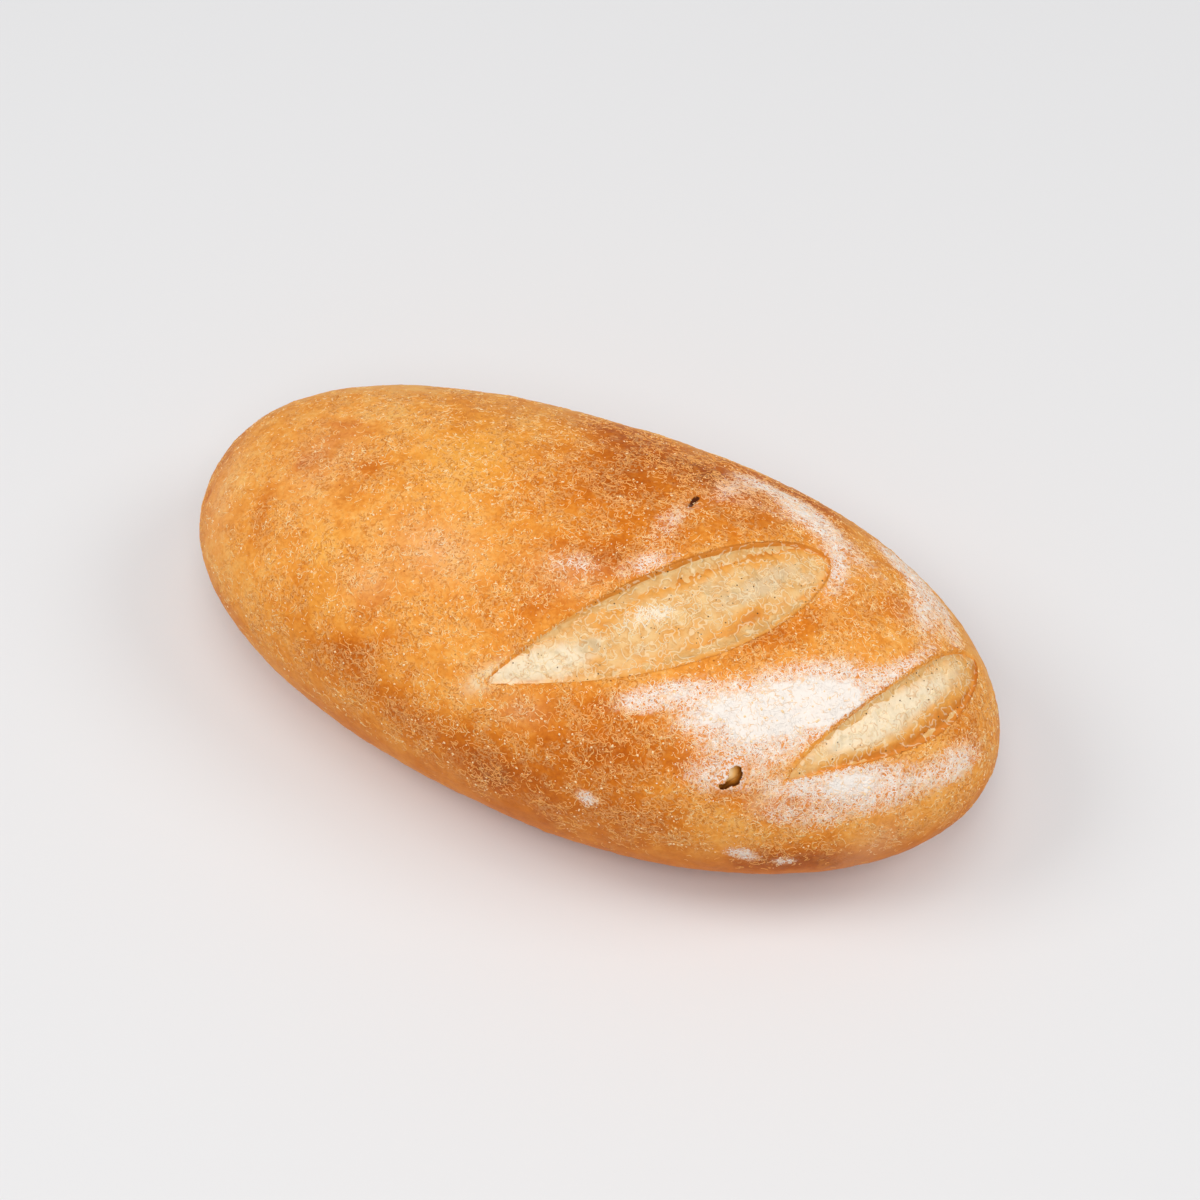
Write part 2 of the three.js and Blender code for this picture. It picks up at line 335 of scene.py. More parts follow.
# The form of the roll
def girth(t):
    power = np.where(t < 0.0, BLUNT_END, SLASHED_END)
    return np.clip(1.0 - np.abs(t) ** power, 0.0, 1.0) ** (1.0 / power)


def half_width(t):
    return (WIDTH / 2.0) * (1.0 + LEAN * t) * girth(t)


def side_shift(t):
    return SIDE_BOW * np.cos(math.pi * t)


def swell(x, y):
    broad = np.sin(x / SWELL_X + 1.3) * np.cos(y / SWELL_Y - 0.4)
    slant = np.sin((x - y) / SWELL_SLANT)
    return SWELL * (broad + 0.6 * slant)


def crust_height(x, y):
    t = np.clip(2.0 * x / LENGTH, -1.0, 1.0)
    across = np.minimum(1.0, np.abs(y - side_shift(t)) / np.maximum(half_width(t), 1e-6))
    share = (1.0 - across**CROWN_POWER) ** (1.0 / CROWN_POWER)
    rise = (HEIGHT - WAIST) * (1.0 + CROWN_RISE * t) * girth(t)
    return WAIST + (rise + swell(x, y) * girth(t)) * share


def crust_points(t, angle):
    over_waist = np.sin(angle) >= 0.0
    power = np.where(over_waist, CROWN_POWER, SOLE_POWER)
    x = t * LENGTH / 2.0
    y = side_shift(t) + half_width(t) * signed_power(np.cos(angle), 2.0 / power)
    under = WAIST + SOLE_DROP * girth(t) * signed_power(np.sin(angle), 2.0 / power)
    z = np.where(over_waist, crust_height(x, y), np.maximum(0.0, under))
    return np.stack([x, y, z], axis=-1)


def even_stations(count):
    """Stations from end to end along the profile of the crown, closer together in the slashed half."""
    t = -np.cos(np.linspace(0.0, math.pi, 4001))
    x = t * LENGTH / 2.0
    z = crust_height(x, side_shift(t))
    share = BLUNT_HALF_SHARE + (SLASHED_HALF_SHARE - BLUNT_HALF_SHARE) * smoothstep(t[1:], -0.35, -0.05)
    run = np.concatenate([[0.0], np.cumsum(np.hypot(np.diff(x), np.diff(z)) * share)])
    return np.interp(np.linspace(0.0, run[-1], count + 1), run, t)


# The form of a slash
def opening_at(slash, u):
    peak = TAIL_POWER / (TAIL_POWER + NOSE_POWER)
    u = np.clip(u, 0.0, 1.0)
    shape = u**TAIL_POWER * (1.0 - u) ** NOSE_POWER
    return slash["half_width"] * shape / (peak**TAIL_POWER * (1.0 - peak) ** NOSE_POWER)


def middle_line(slash, u):
    return SLASH_BOW * np.sin(math.pi * np.clip(u, 0.0, 1.0) ** slash["skew"])


def slash_axes(slash):
    heading = math.radians(slash["heading"])
    along = np.array([math.cos(heading), math.sin(heading)])
    return along, np.array([-along[1], along[0]])


def place_on_slash(slash, u, k):
    """The places at shares u along a slash and k across it, seen from above."""
    along, aside = slash_axes(slash)
    ahead = np.multiply.outer(u * slash["length"], along)
    beside = np.multiply.outer(middle_line(slash, u) + k * opening_at(slash, u), aside)
    return np.array(slash["start"]) + ahead + beside


def where_on_slash(slash, xy):
    """The share u along a slash and the place k across it, of points seen from above."""
    along, aside = slash_axes(slash)
    offset = xy - np.array(slash["start"])
    u = offset @ along / slash["length"]
    k = (offset @ aside - middle_line(slash, u)) / np.maximum(opening_at(slash, u), 0.05)
    return u, k


def trough_depth(slash, u, k):
    narrowness = (opening_at(slash, u) / slash["half_width"]) ** DEPTH_FADE
    near_wall = 0.3 + 0.7 * smoothstep(k, -1.0, -0.75)
    far_wall = 0.45 + 0.55 * smoothstep(-k, -1.0, -0.88)
    puff = 1.0 - FLOOR_PUFF * (1.0 - k * k)
    return slash["depth"] * narrowness * near_wall * far_wall * puff


def outline_of(slash, count=900):
    """Points round a slash's outline, on the crust."""
    u = (1.0 - np.cos(np.linspace(0.0, math.pi, count))) / 2.0
    xy = np.concatenate([place_on_slash(slash, u, side * np.ones(count)) for side in (-1.0, 1.0)])
    return np.column_stack([xy, crust_height(xy[:, 0], xy[:, 1])])


def on_crust(x, y):
    """The place on the crust under a place that is given from above, from the solid's own middle."""
    return np.array([x, y - lean_to_side, float(crust_height(x, y - lean_to_side))])


def patch_field(points, patches):
    """The strength at points of soft oval patches that lie on the crust. Each is placed from above."""
    total = np.zeros(len(points))
    for x, y, half_length, half_wide, heading, amount in patches:
        turn = math.radians(heading)
        middle = on_crust(x, y)
        ahead = middle[:2] + 0.5 * np.array([math.cos(turn), math.sin(turn)])
        along = np.append(ahead, crust_height(*ahead)) - middle
        offset = points - middle
        ahead_of = offset @ (along / np.linalg.norm(along))
        beside = np.sum(offset**2, axis=1) - ahead_of**2
        total += amount * np.exp(-0.9 * ((ahead_of / half_length) ** 2 + beside / half_wide**2))
    return total


def slash_patches(along, beside, patches):
    """The strength of soft oval patches, at places along a slash and beside its middle line."""
    total = np.zeros(len(along))
    for middle_along, middle_beside, half_length, half_wide, amount in patches:
        far = ((along - middle_along) / half_length) ** 2 + ((beside - middle_beside) / half_wide) ** 2
        total += amount * np.exp(-0.9 * far)
    return total


def away_from_line(points, ends):
    """The distance from points to a short line on the crust between two places seen from above."""
    start, end = (on_crust(x, y) for x, y in ends)
    share = np.clip((points - start) @ (end - start) / np.sum((end - start) ** 2), 0.0, 1.0)
    return np.linalg.norm(points - start - share[:, None] * (end - start), axis=1)


def nearest(points, targets):
    """The distance from each point to the nearest target, and that target's index."""
    tree = KDTree(len(targets))
    for index, target in enumerate(targets):
        tree.insert(target, index)
    tree.balance()
    found = [tree.find(point)[1:] for point in points]
    return np.array([f[1] for f in found]), np.array([f[0] for f in found])


def skin_faces(rings, around):
    """Faces over rings of points between two end points, which come first and last."""
    ring = np.arange(rings - 1)[:, None] * around + 1
    spot = np.arange(around)
    following = (spot + 1) % around
    quads = np.stack(
        [ring + spot, ring + following, ring + around + following, ring + around + spot], axis=-1
    ).reshape(-1, 4)
    last_ring = 1 + (rings - 1) * around
    last = 1 + rings * around
    caps = [(0, int(1 + b), int(1 + a)) for a, b in zip(spot, following)]
    caps += [(int(last_ring + a), int(last_ring + b), last) for a, b in zip(spot, following)]
    return quads.tolist() + caps


def add_object(name, data):
    made = bpy.data.objects.new(name, data)
    bpy.context.scene.collection.objects.link(made)
    return made


def make_piece(name, points, faces, fields, *finishes):
    """A smooth mesh object from points in millimetres in the form's own place."""
    mesh = bpy.data.meshes.new(name)
    placed = (points + np.array([0.0, lean_to_side, 0.0])) * MM
    mesh.from_pydata(placed.tolist(), [], faces)
    mesh.shade_smooth()
    for field, values in fields.items():
        attribute = mesh.attributes.new(field, "FLOAT", "POINT")
        attribute.data.foreach_set("value", np.asarray(values, dtype=np.float32))
    for finish in finishes:
        mesh.materials.append(finish)
    return add_object(name, mesh)


def normals_of(points, faces):
    mesh = bpy.data.meshes.new("normals")
    mesh.from_pydata(points.tolist(), [], faces)
    normals = np.zeros(len(points) * 3)
    mesh.vertex_normals.foreach_get("vector", normals)
    bpy.data.meshes.remove(mesh)
    return normals.reshape(-1, 3)


# The solid's middle is over the origin, and the form leans a little to one side of it
edge_t = even_stations(400)
edge_y = np.concatenate([side_shift(edge_t) - half_width(edge_t), side_shift(edge_t) + half_width(edge_t)])
lean_to_side = -(edge_y.min() + edge_y.max()) / 2.0


# Node trees and materials
class Nodes:
    """A tree of nodes in the making, with short names for the nodes that are used here."""

    def __init__(self, tree):
        self.nodes, self.links = tree.nodes, tree.links

    def put(self, socket, value):
        if isinstance(value, bpy.types.NodeSocket):
            self.links.new(value, socket)
        elif socket.type == "RGBA":
            socket.default_value = (*value, 1.0)
        else:
            socket.default_value = value

    def add(self, kind, settings=None, **inputs):
        """A new node with its settings and inputs. An input's name has an underscore for each space."""
        node = self.nodes.new(kind)
        for name, value in (settings or {}).items():
            setattr(node, name, value)
        for label, value in inputs.items():
            self.put(node.inputs[label.replace("_", " ")], value)
        return node

    def math(self, operation, *values):
        node = self.add("ShaderNodeMath", {"operation": operation})
        for socket, value in zip(node.inputs, values):
            self.put(socket, value)
        return node.outputs[0]

    def vector(self, operation, a, b):
        node = self.add("ShaderNodeVectorMath", {"operation": operation})
        self.put(node.inputs[0], a)
        self.put(node.inputs["Scale" if operation == "SCALE" else 1], b)
        return node.outputs[0]

    def chain(self, operation, values):
        total = values[0]
        for value in values[1:]:
            total = self.math(operation, total, value)
        return total

    def most(self, *values):
        return self.chain("MAXIMUM", values)

    def sum(self, *values):
        return self.chain("ADD", values)

    def times(self, *values):
        return self.chain("MULTIPLY", values)


class Finish(Nodes):
    """A material in the making, whose colour is built up coat by coat."""

    def __init__(self, name):
        self.material = bpy.data.materials.new(name)
        self.material.use_nodes = True
        super().__init__(self.material.node_tree)
        self.shader = self.nodes["Principled BSDF"]
        self.place = self.add("ShaderNodeTexCoord").outputs["Object"]

    def coat(self, colour, *shares):
        self.colour = self.blend(self.times(*shares), self.colour, colour)

    def done(self, roughness, specular):
        self.put(self.shader.inputs["Base Color"], self.colour)
        self.shader.inputs["Roughness"].default_value = roughness
        self.shader.inputs["Specular IOR Level"].default_value = specular
        return self.material

    def field(self, name):
        return self.add("ShaderNodeAttribute", {"attribute_name": name}).outputs["Fac"]

    def shifted(self, seed, step=(0.0, 0.0, 0.0)):
        return self.vector("ADD", self.place, [a * seed + b * MM for a, b in zip(PATTERN_SHIFT, step)])

    def noise(self, spacing, seed, detail=2.0, roughness=0.5, step=(0.0, 0.0, 0.0)):
        """Noise from about 0 to 1, with features about this many millimetres apart."""
        sizes = {"Scale": 1.0 / (spacing * MM), "Detail": detail, "Roughness": roughness}
        return self.add("ShaderNodeTexNoise", Vector=self.shifted(seed, step), **sizes).outputs["Fac"]

    def specks(self, spacing, radius, share, seed):
        """1 in scattered round specks and 0 outside. Share is the part of the places that have one."""
        node = self.add("ShaderNodeTexVoronoi", Vector=self.shifted(seed), Scale=1.0 / (spacing * MM))
        near = self.rise(node.outputs["Distance"], radius / spacing, 0.5 * radius / spacing)
        return self.times(near, self.rise(node.outputs["Color"], 1.0 - share, 1.04 - share))

    def rise(self, value, low, high):
        """0 below low and 1 above high, smoothly. With low above high it falls instead."""
        ends = {"From_Min": min(low, high), "From_Max": max(low, high)}
        ends |= {"To_Min": float(low > high), "To_Max": float(low <= high)}
        smooth = {"interpolation_type": "SMOOTHSTEP"}
        return self.add("ShaderNodeMapRange", smooth, Value=value, **ends).outputs["Result"]

    def scaled(self, value, by, plus):
        return self.math("MULTIPLY_ADD", value, by, plus)

    def threads(self, spacing, thick, seed, gaps):
        """Thin wriggling broken lines, thick millimetres across, and a band beside each line, where painted
        shade goes.
        """
        reach = 0.1 * spacing
        steps = [(0.0, 0.0, 0.0), (reach, 0.0, 0.0), (0.0, reach, 0.0), (0.0, 0.0, reach)]
        here, *beside = [self.noise(spacing, seed, detail=1.0, step=step) for step in steps]
        slopes = [self.math("SUBTRACT", value, here) for value in beside]
        steepness = self.math("SQRT", self.sum(*[self.times(slope, slope) for slope in slopes]))
        off_line = self.math("DIVIDE", self.math("SUBTRACT", here, 0.5), self.sum(steepness, 0.004))
        gap = self.rise(self.noise(spacing * 0.8, seed + 31, detail=0.0), gaps - 0.03, gaps + 0.03)
        bands = []
        for middle in (0.0, 0.95 * thick / reach):
            off_middle = self.math("ABSOLUTE", self.math("SUBTRACT", off_line, middle))
            bands.append(self.times(self.rise(off_middle, 0.55 * thick / reach, 0.25 * thick / reach), gap))
        return bands

    def blend(self, share, below, above):
        node = self.add("ShaderNodeMix", {"data_type": "RGBA"})
        for socket, value in zip([s for s in node.inputs if s.enabled], (share, below, above)):
            self.put(socket, value)
        return next(socket for socket in node.outputs if socket.enabled)

    def ramp(self, value, stops):
        node = self.add("ShaderNodeValToRGB", Fac=value)
        elements = node.color_ramp.elements
        while len(elements) < len(stops):
            elements.new(0.5)
        for element, (position, colour) in zip(elements, stops):
            element.position = position
            element.color = (*colour, 1.0)
        return node.outputs["Color"]

    def bump(self, height, distance, strength):
        node = self.add("ShaderNodeBump", Distance=distance * MM, Strength=strength, Height=height)
        self.links.new(node.outputs["Normal"], self.shader.inputs["Normal"])


def crust_finish():
    f = Finish("baked_crust")
    fine, floured, blushed = (f.field(name) for name in ("fine_crust", "floured", "blushed"))
    # Browning, in broad fields, mottles and fine grain
    tone = f.sum(
        f.times(f.field("browned"), 0.50),
        f.times(f.noise(13.0, 1), 0.50),
        f.times(f.noise(3.2, 2, detail=3.0, roughness=0.6), 0.50),
        f.times(f.noise(0.8, 3), 0.45, f.scaled(fine, 0.6, 0.4)),
        -0.46,
    )
    f.colour = f.ramp(tone, BAKED)
    f.coat(GILT, f.field("gilded"), 0.7)
    f.coat(BLUSH, blushed, 0.35)
    f.coat(STAIN, f.rise(f.noise(4.2, 57, detail=4.0, roughness=0.6), 0.56, 0.68), 0.55)
    f.coat(UNDER_FLOUR, f.rise(floured, 0.02, 0.4), 0.6)
    f.coat(TIP_PALE, f.field("tip"))
    # Painted shade in hair-thin lines beside the threads, and faint threads standing in clumps between them
    clumps = f.times(fine, f.rise(f.noise(5.5, 35, detail=1.0), 0.40, 0.56))
    long_thread, long_groove_shade = f.threads(1.4, 0.28, 5, gaps=0.42)
    short_thread, short_groove_shade = f.threads(0.9, 0.24, 9, gaps=0.46)
    groove_shade = f.times(f.most(long_groove_shade, short_groove_shade), f.scaled(clumps, 0.6, 0.4), fine)
    f.coat(GROOVE_SHADE, groove_shade, 0.55)
    haze = f.rise(f.sum(floured, f.times(blushed, 0.35)), 0.03, 0.7)
    threads = f.times(f.most(long_thread, short_thread), clumps)
    f.coat(f.blend(haze, THREAD_GOLD, THREAD_PALE), threads, f.scaled(haze, 0.35, 0.35))
    # Painted shade in small scattered pits, which the bump also dents
    shaded_pores = f.times(f.specks(2.3, 0.26, 0.4, 17), f.scaled(fine, 0.8, 0.2))
    f.coat(PORE_SHADE, shaded_pores, 0.7)
    # Painted highlights: small pale specks in clumps stand in for glints of light on the crust
    f.coat(PAINTED_GLINT, f.specks(1.1, 0.17, 0.5, 23), fine, f.rise(f.noise(5.0, 25), 0.46, 0.58), 0.85)
    # The rim of each slash is baked darker, partly as painted shade along the lip, and the nick is painted
    # near black as shade in its slit
    f.coat(RIM_BROWN_AND_SHADE, f.rise(f.field("rim"), 0.35, 1.0), 0.85)
    f.coat(NICK_SHADE, f.rise(f.field("nick_shade"), 0.4, 0.6))
    # Flour: a solid core that breaks up towards its edges
    patchy = f.sum(floured, f.sum(f.times(f.noise(3.6, 41, detail=4.0, roughness=0.65), 1.2), -0.6))
    core, wide = f.rise(patchy, 0.62, 0.95), f.rise(patchy, 0.10, 0.55)
    strands = f.most(f.threads(1.1, 0.30, 45, gaps=0.44)[0], f.threads(0.8, 0.24, 48, gaps=0.44)[0])
    solid = f.times(core, f.scaled(f.noise(0.9, 49), 0.5, 0.78))
    flour = f.times(f.most(solid, f.times(wide, strands, 0.85)), f.rise(floured, 0.03, 0.2))
    holes = f.times(f.specks(1.6, 0.2, 0.35, 51), core)
    flour = f.times(flour, f.math("SUBTRACT", 1.0, f.times(holes, 0.35)))
    f.coat(f.blend(f.noise(1.2, 47), FLOUR_SHADED, FLOUR_WHITE), flour)
    f.shader.inputs["Sheen Weight"].default_value = 0.06
    f.shader.inputs["Sheen Roughness"].default_value = 0.35
    f.shader.inputs["Sheen Tint"].default_value = (1.0, 0.88, 0.76, 1.0)
    height = f.sum(
        f.times(threads, 0.4),
        f.times(groove_shade, -0.4),
        f.times(shaded_pores, -0.3),
        f.times(f.noise(1.0, 53, detail=4.0, roughness=0.65), 1.3, f.scaled(fine, 0.75, 0.25)),
        f.times(flour, 0.2),
    )
    f.bump(height, 0.16, 0.8)
    return f.done(roughness=0.6, specular=0.12)


def crumb_finish():
    f = Finish("opened_crumb")
    uneven = f.sum(f.times(f.noise(3.4, 3, detail=4.0, roughness=0.6), 1.2), -0.6)
    f.colour = f.blend(f.rise(f.noise(3.0, 4, detail=3.0), 0.35, 0.65), CRUMB_DEEP, CRUMB_LIGHT)
    f.coat(CRUMB_PALE, f.rise(f.sum(f.field("pale"), uneven), 0.1, 0.9), 0.9)
    # Thin-walled bubbles, greyer and glassy
    f.coat(CRUMB_GLASSY, f.rise(f.sum(f.field("glassy"), f.times(uneven, 0.8)), 0.1, 0.7), 0.75)
    # Toasted where the crumb stood proud and under the rims
    toast = f.sum(f.field("toasted"), uneven)
    f.coat(TOAST_GOLD, f.rise(toast, 0.05, 0.95), 0.92)
    f.coat(TOAST_BROWN, f.rise(toast, 0.75, 1.5), 0.9)
    # Painted shade in the bowls of the burst bubbles
    f.coat(BUBBLE_SHADE, f.field("bubble_shade"), 0.6)
    # Pale webs, with painted shade in a thin band beside each
    web, seam_shade = f.threads(2.0, 0.30, 11, gaps=0.42)
    f.coat(SEAM_SHADE, seam_shade, 0.45)
    f.coat(WEB_PALE, web, 0.45)
    # Pinholes, painted as dark specks of shade
    clumped_pinholes = f.times(f.specks(1.0, 0.17, 0.6, 27), f.rise(f.noise(4.0, 29), 0.47, 0.58))
    f.coat(PINHOLE_SHADE, f.most(f.specks(1.7, 0.22, 0.5, 19), clumped_pinholes), 0.95)
    floured = f.field("floured")
    flour = f.rise(f.sum(floured, f.times(f.noise(1.3, 21, detail=3.0), 0.9), -0.55), 0.25, 0.6)
    flour = f.times(flour, f.most(f.threads(1.3, 0.36, 81, gaps=0.42)[0], 0.12))
    f.coat(CRUMB_FLOUR, flour, f.rise(floured, 0.1, 0.4), 0.7)
    f.bump(f.sum(f.times(web, 0.2), f.times(f.noise(1.2, 25, detail=4.0, roughness=0.6), 1.3)), 0.26, 0.9)
    return f.done(roughness=0.4, specular=0.2)


def cavity_finish():
    """The smooth wall of the burst blister: pale where it leaves the skin, and dark brown down inside,
    partly toasted and partly painted shade.
    """
    f = Finish("blister_wall")
    f.colour = f.ramp(f.sum(f.field("down"), f.times(f.noise(1.0, 3), 0.1), -0.05), BLISTER_TOAST_AND_SHADE)
    f.bump(f.noise(0.7, 5, detail=3.0), 0.08, 0.4)
    return f.done(roughness=0.7, specular=0.0)


def thread_finish():
    """Fine curled threads of skin on the crust, whiter where flour clings to them."""
    f = Finish("skin_threads")
    f.colour = f.blend(f.rise(f.noise(1.2, 3), 0.38, 0.66), (0.96, 0.48, 0.11), (1.0, 0.74, 0.38))
    f.coat((0.95, 0.45, 0.135), f.rise(f.field("browned"), 0.1, 1.1), 0.8)
    pale = f.blend(f.rise(f.noise(1.1, 5), 0.35, 0.65), (0.98, 0.70, 0.46), (1.0, 0.92, 0.84))
    f.coat(pale, f.rise(f.sum(f.field("floured"), f.times(f.field("blushed"), 0.25)), 0.02, 0.45))
    return f.done(roughness=0.7, specular=0.0)


def web_finish():
    """Curled pale webs of crumb, whiter where flour clings to them."""
    f = Finish("crumb_webs")
    f.colour = f.blend(f.noise(1.4, 3), (0.92, 0.64, 0.30), (0.99, 0.84, 0.58))
    f.coat((1.0, 0.88, 0.70), f.rise(f.field("floured"), 0.1, 0.5))
    return f.done(roughness=0.7, specular=0.0)


def flour_finish():
    f = Finish("loose_flour")
    f.colour = f.blend(f.noise(2.0, 3), FLOUR_SHADED, FLOUR_WHITE)
    return f.done(roughness=0.95, specular=0.15)


def flake_finish():
    f = Finish("pale_flakes")
    f.colour = f.blend(f.noise(1.5, 3), (1.0, 0.62, 0.27), (1.0, 0.84, 0.56))
    return f.done(roughness=0.6, specular=0.2)


def floor_finish():
    f = Finish("pale_floor")
    f.colour = FLOOR_COLOUR
    return f.done(roughness=0.9, specular=0.1)


# The crust
def skin_relief(points):
    """How far the fine unevenness of the crust stands proud."""
    swellings = np.clip(waves(points, 4.6, 4) - 2.1, 0.0, 0.5) * 0.2
    for x, y, radius, height in BLISTERS:
        away = np.linalg.norm(points - on_crust(x, y), axis=1)
        swellings += height * np.exp(-((away / radius) ** 4))
    return (layered_waves(points, SKIN_WAVES) + swellings) * smoothstep(points[:, 2], 0.5, 9.0)


def crust_fields(points, off_slash, rim):
    """What the crust's finish reads at each point of its mesh."""
    x, y, z = points.T
    # The skin is fine and threaded over the crown, and smooth low on the sides and at the blunt end
    smooth_below = WAIST - 6.0 + 17.0 * smoothstep(y, 5.0, 25.0)
    fine = smoothstep(z + 2.0 * waves(points, 14.0, 5) - smooth_below, 0.0, 15.0)
    fine *= 1.0 - 0.35 * smoothstep(-x, 55.0, 80.0)
    flecks = patch_field(points, [(*place, half_wide, half_wide, 0, 0.55) for *place, half_wide in FLECKS])
    low_side = (0.45 + 0.35 * smoothstep(x, -40.0, 0.0)) * smoothstep(-z, -34.0, -20.0)
    by_sole = 0.35 * smoothstep(-z, -9.0, -0.5)
    floured = patch_field(points, FLOURED) * smoothstep(off_slash, -0.1, 0.3)
    clumps = 0.5 + 0.5 * smoothstep(waves(points, 12.0, 6), -1.2, 0.6)
    threaded = fine * clumps * smoothstep(off_slash, -0.1, 0.15)
    threaded *= 1.0 - 0.9 * smoothstep(floured, 0.45, 0.9)
    threaded *= 0.55 + 0.45 * smoothstep(x, -50.0, 0.0)
    off_nick = away_from_line(points, NICK_ENDS)
    threaded *= smoothstep(off_nick, 1.0, 2.0)
    flaked = fine * (0.35 + 0.65 * smoothstep(waves(points, 7.0, 9), -1.0, 0.9)) * (off_slash > 0.3)
    off_crease = away_from_line(points, CREASE_ENDS)
    crease = 0.5 * smoothstep(-off_crease, -CREASE_HALF_WIDTH - 0.5, -CREASE_HALF_WIDTH)
    return {
        "fine_crust": 0.10 + 0.90 * fine,
        "threaded": threaded,
        "flaked": flaked * (0.5 + 0.5 * smoothstep(x, -60.0, -20.0)),
        "tip": patch_field(points, TIPS) * smoothstep(off_slash, 0.0, 0.3),
        "browned": patch_field(points, BROWNED) + (low_side + by_sole) + flecks + crease,
        "gilded": patch_field(points, GILDED),
        "blushed": patch_field(points, BLUSHED),
        "floured": floured,
        "rim": rim,
        "nick_shade": np.clip(1.0 - off_nick / (2.0 * NICK_HALF_WIDTH), 0.0, 1.0),
    }


def rim_strength(kind, u, k):
    """How strongly the rim of a slash is darkened, at shares along it and places across it: baked colour,
    and on the crust partly painted shade along the lip.
    """
    far, near, far_from, near_from = RIM_TOAST[kind]
    far_side = far * smoothstep(u, far_from - 0.12, far_from + 0.12)
    near_side = near * smoothstep(u, near_from - 0.14, near_from + 0.14)
    return np.clip(np.where(k > 0.0, far_side, near_side), 0.0, 1.0)


def make_crust(finish):
    t = even_stations(RINGS + 1)[1:-1]
    even = 2.0 * math.pi * np.arange(AROUND) / AROUND
    angle = even + CROWN_CROWDING * np.cos(even)
    grid = crust_points(*np.broadcast_arrays(t[:, None], angle[None, :]))
    ends = crust_points(np.array([-1.0, 1.0]), np.zeros(2))
    points = np.concatenate([ends[:1], grid.reshape(-1, 3), ends[1:]])
    faces = skin_faces(RINGS, AROUND)
    off_slash = np.full(len(points), FAR_AWAY)
    rim, dip = np.zeros(len(points)), np.zeros(len(points))
    on_crown = points[:, 2] > WAIST
    for kind, slash in SLASHES.items():
        outline = outline_of(slash)
        close = np.all(np.abs(points[:, :2] - outline[:, :2].mean(0)) < SLASH_REACH, axis=1)
        chosen = np.nonzero(on_crown & close)[0]
        distance, index = nearest(points[chosen], outline)
        # Points beside the outline move onto it, so that the lip is a clean line
        snapped = distance < SNAP
        points[chosen[snapped]] = outline[index[snapped]]
        u, k = where_on_slash(slash, points[chosen, :2])
        inside = (np.abs(k) < 1.0) & (u > 0.0) & (u < 1.0) & ~snapped
        distance = np.where(snapped, 0.0, distance)
        down = trough_depth(slash, u, np.clip(k, -1.0, 1.0)) + UNDER_CRUMB
        fade = smoothstep(opening_at(slash, u), 0.1, 0.6)
        dip[chosen] = np.where(inside, fade * down * smoothstep(distance, 0.0, WALL_RUN), dip[chosen])
        distance = np.where(inside, 0.0, distance)
        off_slash[chosen] = np.minimum(off_slash[chosen], distance)
        here = rim_strength(kind, u, k) * smoothstep(-distance, -0.6, -0.02)
        rim[chosen] = np.maximum(rim[chosen], here)
    normals = normals_of(points, faces)
    lip = LIP_RISE * np.exp(-((off_slash / LIP_RUN) ** 2))
    rise = skin_relief(points) * smoothstep(off_slash, -0.2, 1.5) + lip
    rise -= NICK_DEPTH * smoothstep(-away_from_line(points, NICK_ENDS), -NICK_HALF_WIDTH, -0.1)
    rise -= CREASE_DEPTH * smoothstep(-away_from_line(points, CREASE_ENDS), -1.2, -0.1)
    points = points + normals * (rise - blister_dip(points))[:, None]
    points[:, 2] = np.maximum(points[:, 2] - dip, 0.0)
    fields = crust_fields(points, off_slash, rim)
    off_blister = -blister_dip(points)
    fields["threaded"] *= smoothstep(off_blister, -0.05, 0.0)
    fields["floured"] *= smoothstep(off_blister, -0.4, 0.0)
    floured = fields["floured"]
    fields["flour_edge"] = smoothstep(floured, 0.03, 0.35) * (1.0 - 0.75 * smoothstep(floured, 0.7, 1.1))
    return make_piece("roll_crust", points, faces, fields, finish)


# The crumb that shows in a slash, as a closed pad lying in its trough
def dimple_relief(along, beside, kind):
    """Burst bubbles with a faint rim, scattered or placed on the crumb, and how much painted shade each
    place gets in their bowls.
    """
    slash = SLASHES[kind]
    many, smallest, largest, depth, seed = DIMPLES[kind]
    rng = np.random.default_rng(seed)
    relief, bubble_shade = np.zeros(len(along)), np.zeros(len(along))
    for _ in range(many):
        u = rng.uniform(0.08, 0.96)
        k = rng.uniform(-0.8, 0.85)
        radius = smallest + (largest - smallest) * rng.random() ** 2
        stretch = rng.uniform(0.7, 1.4)
        ahead = (along - u * slash["length"]) / stretch
        aside = (beside - k * float(opening_at(slash, u))) * stretch
        away = np.hypot(ahead, aside) / radius
        bowl = np.clip(1.0 - away**2, 0.0, None) ** 2
        relief += depth * radius * (0.35 * np.exp(-(((away - 1.1) / 0.22) ** 2)) - bowl)
        bubble_shade = np.maximum(bubble_shade, bowl * rng.random())
    for middle_along, middle_beside, radius, deep in BUBBLES[kind]:
        ahead, aside = along - middle_along, beside - middle_beside
        away = np.hypot(ahead / 1.3, aside) / radius
        away *= 1.0 + 0.16 * np.sin(3.0 * np.arctan2(aside, ahead) + radius * 9.0)
        bowl = np.clip(1.0 - away**2, 0.0, None)
        relief += deep * (0.25 * np.exp(-(((away - 1.15) / 0.2) ** 2)) - bowl)
        bubble_shade = np.maximum(bubble_shade, 0.55 * smoothstep(bowl, 0.0, 0.35))
    return relief, bubble_shade


def closed_pad(slash, top, rings, lines):
    """Points and faces of a thin closed pad under a surface, given as rings of points across a slash."""
    upper = top.reshape(rings, lines, 3)
    below = upper[:, [-1, -1 - lines // 3, lines // 3, 0]] - np.array([0.0, 0.0, PAD_THICKNESS])
    ends = []
    for u in (0.0, 1.0):
        x, y = place_on_slash(slash, np.array(u), np.array(0.0))
        ends.append([x, y, crust_height(x, y) - PAD_END_DEPTH])
    ring_points = np.concatenate([upper, below], axis=1).reshape(-1, 3)
    return np.concatenate([ends[:1], ring_points, ends[1:]]), skin_faces(rings, lines + 4)


